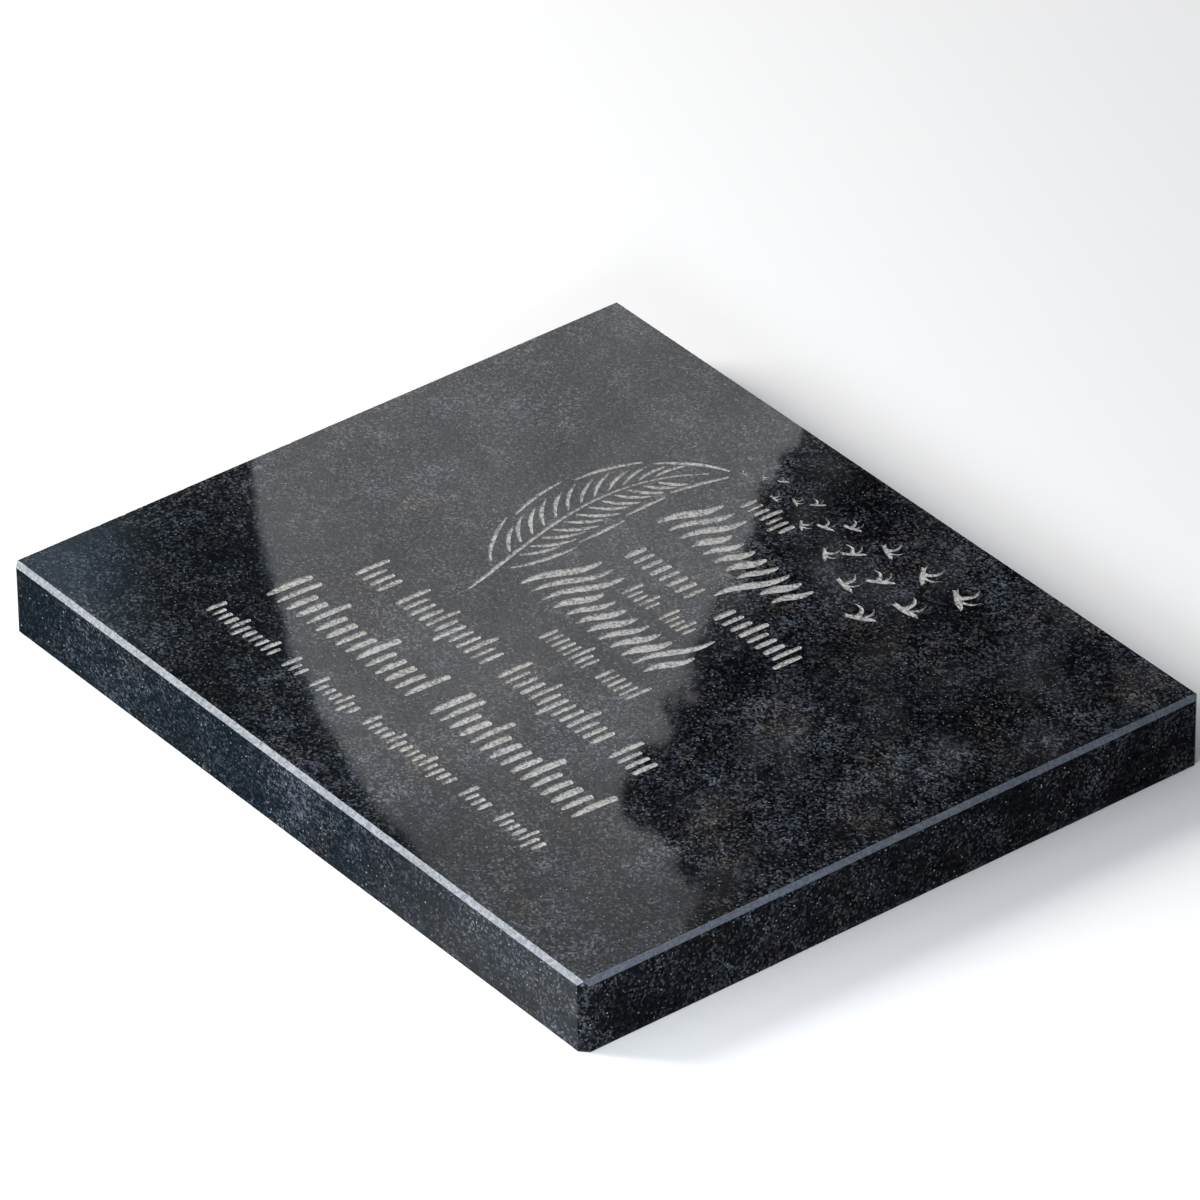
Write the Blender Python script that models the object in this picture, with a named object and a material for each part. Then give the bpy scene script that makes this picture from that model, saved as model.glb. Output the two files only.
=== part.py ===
import math

import bmesh
import bpy
from mathutils import Vector

# A polished black granite memorial stone that lies flat on the ground, in metres.
# The origin is the middle of the underside. +X runs along the rows, +Y up the page, +Z up.
SLAB_WIDTH = 0.305
SLAB_DEPTH = 0.254
SLAB_THICKNESS = 0.027
TOP_BEVEL = 0.00165       # flat band at 45 degrees round the polished face
CORNER_BEVEL = 0.0028     # narrow flat down each upright corner
CARVE_DEPTH = 0.00025     # how deep the feather, the birds and the rows are cut
CUTTER_RISE = 0.0010      # how far the cutters stand above the face they cut

# Places on the face are shares of the slab: u from its left edge, v from its front edge.
# Heights along the page are shares of its depth.

# How the strokes of each kind of row are drawn. Width is a share of the room for one stroke,
# lean a share of its height, and bow and wave bend it by a share of its length. Heel and tip are
# the share of the width left at its two ends. Tall and deep are multiples of a short stroke.
HANDS = {
    "plain": dict(width=0.60, lean=0.02, bow=0.02, wave=0.000, heel=0.75, tip=0.75,
                  tall=1.40, deep=0.34, stations=3),
    "wedge": dict(width=0.64, lean=0.03, bow=0.03, wave=0.000, heel=0.40, tip=0.90,
                  tall=1.45, deep=0.36, stations=3),
    "brush": dict(width=0.68, lean=0.24, bow=0.00, wave=0.045, heel=0.25, tip=0.36,
                  tall=1.62, deep=0.85, stations=5),
}
WORD_GAP = 1.5            # room between words, in strokes
WEIGHTS = (1.00, 0.80, 0.90)   # heavy and light strokes take turns

# The rows, from the back of the face to the front. Words holds the number of strokes in each word,
# and initials the number of tall strokes that start a word. A tall of 5 makes each fifth stroke of
# a word tall as well, a deep of 5 lets each fifth reach below the base line, and 0 is none.
ROWS = (
    dict(hand="plain", left=0.410, right=0.486, base=0.812, short=0.026, words=(7,),
         initials=0, tall=4, deep=6),
    dict(hand="brush", left=0.372, right=0.590, base=0.703, short=0.058, words=(11,),
         initials=3, tall=0, deep=9),
    dict(hand="plain", left=0.406, right=0.521, base=0.622, short=0.034, words=(8,),
         initials=0, tall=0, deep=0),
    dict(hand="plain", left=0.560, right=0.686, base=0.622, short=0.034, words=(9,),
         initials=0, tall=4, deep=9),
    dict(hand="plain", left=0.461, right=0.572, base=0.567, short=0.024, words=(5, 5),
         initials=1, tall=4, deep=0),
    dict(hand="brush", left=0.372, right=0.606, base=0.478, short=0.070, words=(12,),
         initials=3, tall=11, deep=0),
    dict(hand="plain", left=0.472, right=0.630, base=0.421, short=0.030, words=(8, 6),
         initials=0, tall=6, deep=0),
    dict(hand="plain", left=0.250, right=0.745, base=0.326, short=0.039, words=(4, 12, 13, 4),
         initials=1, tall=5, deep=7),
    dict(hand="wedge", left=0.220, right=0.768, base=0.209, short=0.049, words=(15, 15),
         initials=2, tall=5, deep=0),
    dict(hand="wedge", left=0.206, right=0.784, base=0.127, short=0.022,
         words=(11, 3, 7, 14, 4, 7), initials=1, tall=5, deep=6),
)

# The feather: its shaft is one curve from the quill's point to the tip, given by its four handles.
# The vane's half width is a share of the slab's width. The widths of the shaft, the edge and the
# barbs, and the clear stone beside the shaft, are shares of that half width.
SHAFT = ((0.356, 0.414), (0.322, 0.570), (0.256, 0.730), (0.362, 0.855))
SHAFT_WIDTH = 0.13        # behind the quill's point
SHAFT_POINT = 0.30        # share of that width at the point itself
POINT_LENGTH = 0.09       # share of the shaft that the point takes
SHAFT_TIP = 0.35          # share of that width left at the shaft's end
SHAFT_END = 0.93          # share of the feather's curve that the shaft runs
SHAFT_STATIONS = 15
VANE_START = 0.14         # share of the curve that is bare quill
VANE_HALF = 0.0500        # from the shaft to the widest part of the vane's edge
VANE_PEAK = 0.74          # under 1 puts the widest part nearer the quill
VANE_ROUND = 0.72         # under 1 makes the vane fuller at both ends
EDGE_WIDTH = 0.115
EDGE_ENDS = 0.45          # share of that width left at a lobe's ends
EDGE_END = 0.995          # share of the vane at which its edge stops
EDGE_LOBES = 4            # the vane's edge is split into lobes by open notches
LOBE_STATIONS = 6
LOBE_GAP = 0.014          # open share of the vane at each end of a lobe
LOBE_FLARE = 0.12         # how much further out a lobe ends than it starts
BARBS = 12                # on each side
BARB_WIDTH = 0.115
BARB_FIRST = 0.090        # share of the vane at which the first barb starts
BARB_LAST = 0.74          # and the last one
BARB_SWEEP = 0.125        # share of the vane that the first barb climbs towards the tip
BARB_CALM = 0.10          # how much less the last ones climb
BARB_REACH = (0.74, 0.80)   # shares of the vane's half width that barbs cover in turn
BARB_BOW = 0.08
BARB_ROOT = 0.45          # share of a barb's width left at the shaft
BARB_TIP = 0.25           # and at its outer end
BARB_CLEAR = 0.045        # open stone between the shaft and a barb
BARB_STATIONS = 4

# The birds, in shares of the bird's length. A wing runs from its front root to its tip and back to
# its rear root, and bows forwards by a share of its own length.
BEAK_TO_NAPE = ((0.52, 0.02), (0.38, 0.11), (0.25, 0.09))
FAR_WING = dict(front=(0.20, 0.10), tip=(0.20, 0.62), rear=(0.06, 0.10), bow=0.20)
NEAR_WING = dict(front=(0.02, 0.10), tip=(-0.42, 0.66), rear=(-0.18, 0.05), bow=0.24)
TAIL_TO_THROAT = ((-0.54, 0.10), (-0.44, 0.01), (-0.50, -0.07), (-0.12, -0.10), (0.20, -0.09))
WING_STATIONS = 2
FLOCK = 19
FLOCK_LEFT = 0.346
FLOCK_RIGHT = 0.702
FLOCK_TOP = 0.893         # v of the topmost lane
LANES = 3
LANE_STEP = 0.0145         # from one lane to the next at the feather
LANE_SPREAD = 0.060       # how much that grows by the flock's far end
BIRD_LENGTHS = (0.008, 0.041)    # first and last bird, shares of the slab's width
BIRD_TURN = 46            # degrees by which birds turn up or down in the flock
BIRD_TURN_STEP = 2.4      # radians of the turning wave from one bird to the next

STONE_COLOUR = (0.020, 0.022, 0.027, 1.0)
STONE_ROUGHNESS = 0.08


def clear_scene():
    for obj in list(bpy.data.objects):
        bpy.data.objects.remove(obj, do_unlink=True)


def new_collection(name):
    group = bpy.data.collections.new(name)
    bpy.context.scene.collection.children.link(group)
    return group


def on_face(u, v):
    return Vector(((u - 0.5) * SLAB_WIDTH, (v - 0.5) * SLAB_DEPTH))


def ribbon(spine, halves):
    # The closed outline of a ribbon: up the left side of its spine and back down the right side.
    left, right = [], []
    last = len(spine) - 1
    for i, (point, half) in enumerate(zip(spine, halves)):
        along = spine[min(i + 1, last)] - spine[max(i - 1, 0)]
        side = Vector((-along.y, along.x)).normalized() * half
        left.append(point + side)
        right.append(point - side)
    return left + right[::-1]


def stroke(start, end, width, bow, wave, heel, tip, stations):
    # One mark of the chisel, widest at its middle.
    run = end - start
    side = Vector((-run.y, run.x))
    spine, halves = [], []
    for i in range(stations):
        t = i / (stations - 1)
        swell = math.sin(math.pi * t)
        share = heel + (tip - heel) * t
        bend = bow * swell + wave * math.sin(2 * math.pi * t)
        spine.append(start + run * t + side * bend)
        halves.append(width / 2 * (share + (1 - share) * swell))
    return ribbon(spine, halves)


def is_nth(index, every):
    return every > 0 and (index + 1) % every == 0


def row_outlines(row):
    hand = HANDS[row["hand"]]
    words = row["words"]
    room = sum(words) + WORD_GAP * (len(words) - 1)
    pitch = (row["right"] - row["left"]) * SLAB_WIDTH / room
    short = row["short"] * SLAB_DEPTH
    foot_line = on_face(row["left"], row["base"])
    x = foot_line.x + pitch / 2
    outlines = []
    for count in words:
        for k in range(count):
            top, foot = short, 0.0
            if k < row["initials"] or is_nth(k, row["tall"]):
                top = short * hand["tall"]
            elif is_nth(k, row["deep"]):
                foot = -short * hand["deep"]
            start = Vector((x + hand["lean"] * foot, foot_line.y + foot))
            end = Vector((x + hand["lean"] * top, foot_line.y + top))
            width = pitch * hand["width"] * WEIGHTS[k % len(WEIGHTS)]
            outlines.append(stroke(start, end, width, hand["bow"], hand["wave"],
                                   hand["heel"], hand["tip"], hand["stations"]))
            x += pitch
        x += WORD_GAP * pitch
    return outlines


def shaft_point(t):
    # The shaft's curve, and the unit vector to its left.
    a, b, c, d = (on_face(u, v) for u, v in SHAFT)
    s = 1 - t
    point = a * s ** 3 + b * (3 * s * s * t) + c * (3 * s * t * t) + d * t ** 3
    along = (b - a) * (s * s) + (c - b) * (2 * s * t) + (d - c) * (t * t)
    return point, Vector((-along.y, along.x)).normalized()


def full_vane():
    return VANE_HALF * SLAB_WIDTH


def vane_half(share):
    # From the shaft to the vane's edge, with share 0 at the quill and 1 at the tip.
    return full_vane() * math.sin(math.pi * share ** VANE_PEAK) ** VANE_ROUND


def vane_point(share, out, side):
    # A point of the vane: out is 0 on the shaft and 1 on the edge, side is 1 left and -1 right.
    point, left = shaft_point(VANE_START + (1 - VANE_START) * share)
    return point + left * (side * out * vane_half(share))


def shaft_outline():
    spine, halves = [], []
    for i in range(SHAFT_STATIONS):
        t = i / (SHAFT_STATIONS - 1)
        spine.append(shaft_point(t * SHAFT_END)[0])
        point_share = min(1.0, SHAFT_POINT + (1 - SHAFT_POINT) * t / POINT_LENGTH)
        thinning = 1 - (1 - SHAFT_TIP) * t
        halves.append(full_vane() * SHAFT_WIDTH / 2 * thinning * point_share)
    return ribbon(spine, halves)


def lobe_outline(lobe, side):
    start = lobe / EDGE_LOBES * EDGE_END + LOBE_GAP
    end = (lobe + 1) / EDGE_LOBES * EDGE_END - LOBE_GAP
    spine, halves = [], []
    for i in range(LOBE_STATIONS):
        t = i / (LOBE_STATIONS - 1)
        out = 1 + LOBE_FLARE * (t - 0.5)
        spine.append(vane_point(start + (end - start) * t, out, side))
        swell = EDGE_ENDS + (1 - EDGE_ENDS) * math.sin(math.pi * t)
        halves.append(full_vane() * EDGE_WIDTH / 2 * swell)
    return ribbon(spine, halves)


def barb_outline(index, side):
    share = BARB_FIRST + (BARB_LAST - BARB_FIRST) * index / (BARBS - 1)
    root, left = shaft_point(VANE_START + (1 - VANE_START) * share)
    start = root + left * (side * full_vane() * (SHAFT_WIDTH / 2 + BARB_CLEAR))
    sweep = BARB_SWEEP * (1 - share * BARB_CALM)
    end = vane_point(share + sweep, BARB_REACH[index % len(BARB_REACH)], side)
    return stroke(start, end, full_vane() * BARB_WIDTH, side * BARB_BOW, 0.0,
                  BARB_ROOT, BARB_TIP, BARB_STATIONS)


def feather_outlines():
    outlines = [shaft_outline()]
    for side in (1, -1):
        outlines += [lobe_outline(lobe, side) for lobe in range(EDGE_LOBES)]
        outlines += [barb_outline(index, side) for index in range(BARBS)]
    return outlines


def wing_points(wing):
    # Both edges of a wing, bowed the same way, so that it is a crescent.
    front, tip, rear = (Vector(wing[name]) for name in ("front", "tip", "rear"))
    points = []
    for start, end, bow in ((front, tip, wing["bow"]), (tip, rear, -wing["bow"])):
        run = end - start
        side = Vector((run.y, -run.x))
        for i in range(WING_STATIONS):
            t = i / WING_STATIONS
            points.append(start + run * t + side * (bow * math.sin(math.pi * t)))
    return points + [rear]


def bird_shape():
    # One outline, from the beak over the back to the tail and along the belly.
    return ([Vector(point) for point in BEAK_TO_NAPE] + wing_points(FAR_WING)
            + wing_points(NEAR_WING) + [Vector(point) for point in TAIL_TO_THROAT])


def bird_outline(index):
    t = index / (FLOCK - 1)
    first, last = BIRD_LENGTHS
    length = (first + (last - first) * t) * SLAB_WIDTH
    lane = (2 * index) % LANES
    centre = on_face(FLOCK_LEFT + (FLOCK_RIGHT - FLOCK_LEFT) * t,
                     FLOCK_TOP - lane * (LANE_STEP + LANE_SPREAD * t * t))
    turn = math.radians(BIRD_TURN) * math.sin(BIRD_TURN_STEP * index)
    cos_turn, sin_turn = math.cos(turn) * length, math.sin(turn) * length
    return [centre + Vector((x * cos_turn - y * sin_turn, x * sin_turn + y * cos_turn))
            for x, y in bird_shape()]


def cutter(name, outlines, group):
    # One upright prism for each outline, from the floor of the carving to above the face.
    prisms = bmesh.new()
    for outline in outlines:
        corners = [prisms.verts.new((place.x, place.y, SLAB_THICKNESS - CARVE_DEPTH))
                   for place in outline]
        floor = prisms.faces.new(corners)
        risen = bmesh.ops.extrude_face_region(prisms, geom=[floor], use_keep_orig=True)
        top = [item for item in risen["geom"] if isinstance(item, bmesh.types.BMVert)]
        bmesh.ops.translate(prisms, vec=(0, 0, CARVE_DEPTH + CUTTER_RISE), verts=top)
    bmesh.ops.recalc_face_normals(prisms, faces=prisms.faces)
    mesh = bpy.data.meshes.new(name)
    prisms.to_mesh(mesh)
    prisms.free()
    solid = bpy.data.objects.new(name, mesh)
    group.objects.link(solid)
    solid.hide_render = True
    solid.display_type = "WIRE"
    return solid


def cut_corner(slab, x_sign, y_sign):
    # Everything outside an upright plane across the corner goes, and the cut is closed.
    inner = Vector((x_sign * (SLAB_WIDTH / 2 - CORNER_BEVEL), y_sign * SLAB_DEPTH / 2, 0))
    geometry = slab.verts[:] + slab.edges[:] + slab.faces[:]
    cut = bmesh.ops.bisect_plane(slab, geom=geometry, plane_co=inner,
                                 plane_no=(x_sign, y_sign, 0), clear_outer=True)
    rim = [item for item in cut["geom_cut"] if isinstance(item, bmesh.types.BMEdge)]
    bmesh.ops.edgeloop_fill(slab, edges=rim)


def slab_mesh(name):
    slab = bmesh.new()
    bmesh.ops.create_cube(slab, size=1)
    bmesh.ops.scale(slab, vec=(SLAB_WIDTH, SLAB_DEPTH, SLAB_THICKNESS), verts=slab.verts)
    bmesh.ops.translate(slab, vec=(0, 0, SLAB_THICKNESS / 2), verts=slab.verts)
    middle = SLAB_THICKNESS / 2
    top_edges = [edge for edge in slab.edges if all(vert.co.z > middle for vert in edge.verts)]
    bmesh.ops.bevel(slab, geom=top_edges, offset=TOP_BEVEL, offset_type="OFFSET", segments=1,
                    profile=0.5, affect="EDGES", material=-1)
    for x_sign in (1, -1):
        for y_sign in (1, -1):
            cut_corner(slab, x_sign, y_sign)
    bmesh.ops.recalc_face_normals(slab, faces=slab.faces)
    mesh = bpy.data.meshes.new(name)
    slab.to_mesh(mesh)
    slab.free()
    return mesh


def granite():
    material = bpy.data.materials.new("polished_black_granite")
    material.use_nodes = True
    shader = material.node_tree.nodes["Principled BSDF"]
    shader.inputs["Base Color"].default_value = STONE_COLOUR
    shader.inputs["Roughness"].default_value = STONE_ROUGHNESS
    shader.inputs["Metallic"].default_value = 0.0
    material.diffuse_color = STONE_COLOUR
    return material


def build():
    clear_scene()
    parts = new_collection("garden_memorial_stone")
    cutters = new_collection("cutters")

    mesh = slab_mesh("memorial_stone")
    mesh.materials.append(granite())
    stone = bpy.data.objects.new("memorial_stone", mesh)
    parts.objects.link(stone)

    rows = [outline for row in ROWS for outline in row_outlines(row)]
    carvings = {
        "feather_cutter": feather_outlines(),
        "birds_cutter": [bird_outline(index) for index in range(FLOCK)],
        "rows_cutter": rows,
    }
    for name, outlines in carvings.items():
        cut = stone.modifiers.new(name, "BOOLEAN")
        cut.operation = "DIFFERENCE"
        cut.solver = "EXACT"
        cut.use_self = True       # marks that meet are joined
        cut.object = cutter(name, outlines, cutters)


build()
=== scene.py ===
import math
import random

import bmesh
import bpy
from mathutils import Matrix, Vector, noise


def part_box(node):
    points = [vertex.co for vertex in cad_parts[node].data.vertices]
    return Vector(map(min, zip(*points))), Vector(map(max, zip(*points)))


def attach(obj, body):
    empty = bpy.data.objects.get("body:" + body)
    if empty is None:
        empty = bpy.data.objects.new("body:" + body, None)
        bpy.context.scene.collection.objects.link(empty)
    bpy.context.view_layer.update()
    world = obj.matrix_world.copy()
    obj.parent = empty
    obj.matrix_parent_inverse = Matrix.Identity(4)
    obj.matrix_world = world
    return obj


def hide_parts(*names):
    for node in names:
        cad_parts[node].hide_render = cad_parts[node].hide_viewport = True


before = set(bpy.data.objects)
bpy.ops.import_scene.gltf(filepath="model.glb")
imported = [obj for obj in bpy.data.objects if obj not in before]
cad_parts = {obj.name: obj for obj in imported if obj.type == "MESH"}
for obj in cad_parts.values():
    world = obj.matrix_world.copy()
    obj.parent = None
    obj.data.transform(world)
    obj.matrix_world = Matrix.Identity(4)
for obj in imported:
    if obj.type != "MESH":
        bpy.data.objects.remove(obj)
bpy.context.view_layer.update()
low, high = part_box("memorial_stone")
size = high - low
print("frame loaded")

# Everything is in metres. The stone lies on z = 0, its rows run along +X and its page goes up along +Y.
# u runs from the slab's left edge to its right edge, and v from its front edge to its back edge.


# The camera and the room

camera = {
    "azimuth": 52.23,      # degrees, 0 looks along +Y
    "elevation": 34.08,
    "roll": -0.67,
    "lens": 320.67,        # mm
    "sensor": 36.0,
    "distance": 3.497,     # to the point it aims at
    "aimRight": -0.0005,   # of the middle of the underside, as the camera sees it
    "aimUp": 0.0308,
}


def viewAxes(azimuth, elevation, roll=0.0):
    # right, up and backwards for a camera that looks at the stone
    a, e, r = (math.radians(angle) for angle in (azimuth, elevation, roll))
    back = Vector((math.sin(a) * math.cos(e), -math.cos(a) * math.cos(e), math.sin(e)))
    level = Vector((math.cos(a), math.sin(a), 0))
    upright = back.cross(level)
    right = level * math.cos(r) + upright * math.sin(r)
    up = upright * math.cos(r) - level * math.sin(r)
    return right, up, back


def turned(right, up, back, place):
    # a matrix that stands an object at a place, with its own X, Y and Z along the three
    matrix = Matrix((right, up, back)).transposed().to_4x4()
    matrix.translation = place
    return matrix


def makeCamera():
    right, up, back = viewAxes(camera["azimuth"], camera["elevation"], camera["roll"])
    aim = right * camera["aimRight"] + up * camera["aimUp"]
    data = bpy.data.cameras.new("camera")
    data.lens = camera["lens"]
    data.sensor_width = camera["sensor"]
    data.clip_end = 100
    obj = bpy.data.objects.new("camera", data)
    obj.matrix_world = turned(right, up, back, aim + back * camera["distance"])
    bpy.context.scene.collection.objects.link(obj)
    bpy.context.scene.camera = obj


makeCamera()


def addNode(tree, kind, x, y, **settings):
    node = tree.nodes.new(kind)
    node.location = (x, y)
    for name, value in settings.items():
        setattr(node, name, value)
    return node


def feed(tree, node, values):
    # each value is a number, a colour or the output socket that drives the input
    for name, value in values.items():
        if isinstance(value, bpy.types.NodeSocket):
            tree.links.new(value, node.inputs[name])
        else:
            node.inputs[name].default_value = value
    return node


def mathNode(tree, operation, first, second, x, y):
    node = addNode(tree, "ShaderNodeMath", x, y, operation=operation)
    feed(tree, node, {0: first, 1: second})
    return node.outputs[0]


def mixColours(tree, factor, first, second, x, y, blend="MIX"):
    node = addNode(tree, "ShaderNodeMix", x, y, data_type="RGBA", blend_type=blend)
    feed(tree, node, {"Factor": factor, "A": first, "B": second})
    return node.outputs["Result"]


def ramp(tree, value, start, end, x, y, low=0.0, high=1.0, smooth=True):
    kind = "SMOOTHSTEP" if smooth else "LINEAR"
    node = addNode(tree, "ShaderNodeMapRange", x, y, interpolation_type=kind)
    feed(tree, node, {"Value": value, "From Min": start, "From Max": end,
                      "To Min": low, "To Max": high})
    return node.outputs["Result"]


# The rest of the room: a pale floor, three lights, a feathered panel and a card that hides one light

noiseLow, noiseHigh = 0.3, 0.7   # the range that most of a noise texture keeps to

room = {
    "floorSize": 60.0,
    "floorColour": (0.86, 0.86, 0.87, 1),
    "floorRoughness": 0.6,
    "floorDrop": 0.0002,        # below the underside
    "floorNear": 0.42,          # beyond this distance the floor turns into the backdrop
    "floorFar": 0.90,           # and here it is all backdrop
    "paintedMirrorLeft": (0.040, 0.080, 0.115, 1),   # painted reflection: the darker floor colour that the left end of the front side mirrors
    "paintedMirrorNear": (0.26, 0.275, 0.295, 1),    # and the painted reflection that its right end mirrors
    "mirrorFrom": 0.0,          # one turns into the other between these X
    "mirrorTo": 0.09,
    "paintedMirrorRight": 0.15,        # share of that painted reflection left where the right side mirrors the floor, painted darker still
    "mirrorSoft": 0.004,        # half the width of the blur between the two
    "backdrop": (0.90, 0.905, 0.92, 1),
    "airColour": (0.96, 0.98, 1.0, 1),
    "ambient": 0.014,           # what the air gives besides the lights
    "glow": 0.30,               # the same, close to the horizon
    "glowFrom": 0.12,           # it fades between these heights
    "glowTo": 0.42,
    "keyFrom": (-0.66, -0.54, 0.52),
    "keyDistance": 1.7,
    "keySize": 0.75,
    "keyPower": 44.0,
    "keyColour": (1.0, 0.99, 0.97),
    "flagSize": 1.10,           # the card that hides the key light from the polished face
    "flagGap": 0.02,            # how far it stands in front of that light
    "fillHeight": 2.2,
    "fillSize": 2.4,
    "fillPower": 20.0,
    "fillColour": (0.94, 0.97, 1.0),
    "edgeFrom": (0.36, -0.40, 0.27),   # a small light for the near corner
    "edgeSize": 0.12,
    "edgePower": 2.10,
    "edgeColour": (0.92, 0.96, 1.0),
    "panelDistance": 1.5,
    "panelSize": 1.2,
    "panelLight": 1.18,
}


def addLight(name, place, aim, side, power, colour):
    data = bpy.data.lights.new(name, "AREA")
    data.shape = "SQUARE"
    data.size = side
    data.energy = power
    data.color = colour
    obj = bpy.data.objects.new(name, data)
    obj.location = place
    obj.rotation_mode = "QUATERNION"
    obj.rotation_quaternion = (Vector(place) - Vector(aim)).to_track_quat("Z", "Y")
    bpy.context.scene.collection.objects.link(obj)
    return obj


def stageMesh(name, side, material):
    bm = bmesh.new()
    bmesh.ops.create_grid(bm, x_segments=1, y_segments=1, size=side / 2)
    mesh = bpy.data.meshes.new(name)
    bm.to_mesh(mesh)
    bm.free()
    mesh.materials.append(material)
    obj = bpy.data.objects.new(name, mesh)
    bpy.context.scene.collection.objects.link(obj)
    return obj


def newMaterial(name):
    material = bpy.data.materials.new(name)
    material.use_nodes = True
    return material, material.node_tree, material.node_tree.nodes["Principled BSDF"]


def floorMaterial():
    # pale to the eye, and painted darker only where the stone's polished sides mirror it: a painted
    # reflection that stands in for shade round the stone
    material, tree, shader = newMaterial("paleFloor")
    rays = addNode(tree, "ShaderNodeLightPath", -1000, 300)
    place = addNode(tree, "ShaderNodeTexCoord", -1400, -100).outputs["Object"]
    axes = addNode(tree, "ShaderNodeSeparateXYZ", -1200, -100)
    feed(tree, axes, {"Vector": place})
    # painted reflection: a darker floor colour for mirrored rays only, set by place along X
    front = ramp(tree, axes.outputs["X"], room["mirrorFrom"], room["mirrorTo"], -1000, 0)
    paintedReflection = mixColours(tree, front, room["paintedMirrorLeft"], room["paintedMirrorNear"], -800, 0)
    side = ramp(tree, axes.outputs["X"], high.x - room["mirrorSoft"], high.x + room["mirrorSoft"],
                -1000, -300, low=1.0, high=room["paintedMirrorRight"])
    dim = mixColours(tree, 1.0, paintedReflection, side, -600, -100, blend="MULTIPLY")
    # mirrored rays get the painted darker floor, all other rays the pale one
    colour = mixColours(tree, rays.outputs["Is Glossy Ray"], room["floorColour"], dim, -300, 0)
    distance = addNode(tree, "ShaderNodeVectorMath", -1200, -700, operation="LENGTH")
    feed(tree, distance, {0: place})
    far = ramp(tree, distance.outputs["Value"], room["floorNear"], room["floorFar"], -1000, -700)
    seenFar = mathNode(tree, "MULTIPLY", far, rays.outputs["Is Camera Ray"], -600, -500)
    own = mixColours(tree, seenFar, colour, (0, 0, 0, 1), -100, 0)
    feed(tree, shader, {"Base Color": own, "Roughness": room["floorRoughness"], "Specular IOR Level": 0.0,
                        "Emission Color": room["backdrop"], "Emission Strength": seenFar})
    material.cycles.emission_sampling = "NONE"
    return material


panelShape = {
    # How far across the panel its two borders stand, at places from its top to its foot.
    "leftAt": ((-0.10, -0.168), (0.00, -0.150), (0.06, -0.124), (0.10, -0.096), (0.16, -0.050)),
    "rightAt": ((-0.10, 0.098), (-0.05, 0.076), (0.00, 0.054), (0.05, 0.033), (0.08, 0.012), (0.12, 0.041),
                (0.16, 0.050)),
    "span": 0.4,            # the curves cover this much of the panel, about its middle
    "soft": 0.005,          # width of the border's blur
    "lobes": 0.060,         # how far the right border swings, and how many swings there are in a metre
    "lobeScale": 42.0,
    "lobesLeft": 0.3,       # share of it that the left border swings
    "fadeFrom": 0.02,       # the panel dims between these places towards its foot
    "fadeTo": 0.16,
    "fadeLeft": 0.53,       # share of its light left at the foot
    "colour": (0.955, 0.975, 1.0, 1),
    "cornerAt": -0.195,     # a second, dim and bluish strip of light beyond the left border
    "cornerSoft": 0.065,
    "cornerLight": 0.58,
    "cornerRest": 0.045,    # what is left of it up to that border
    "cornerColour": (0.56, 0.80, 1.0, 1),
    "leavesScale": 26.0,    # the dim gaps between leaves beyond the right border
    "leavesFrom": 0.46,
    "leavesTo": 0.74,
    "leavesLight": 0.26,
    "haze": 0.14,           # how much all of its light varies from place to place
    "hazeScale": 14.0,
}


def border(tree, along, points, x, y):
    # a curve through the border's places, which answers how far across it stands
    span = panelShape["span"]
    share = ramp(tree, along, -span / 2, span / 2, x, y, smooth=False)
    curve = addNode(tree, "ShaderNodeFloatCurve", x + 200, y)
    line = curve.mapping.curves[0]
    for _ in points[2:]:
        line.points.new(0.5, 0.5)
    for knot, (place, across) in zip(line.points, points):
        knot.location = (place / span + 0.5, across / span + 0.5)
    curve.mapping.update()
    feed(tree, curve, {"Value": share})
    return ramp(tree, curve.outputs["Value"], 0.0, 1.0, x + 500, y, low=-span / 2, high=span / 2,
                smooth=False)


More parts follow.
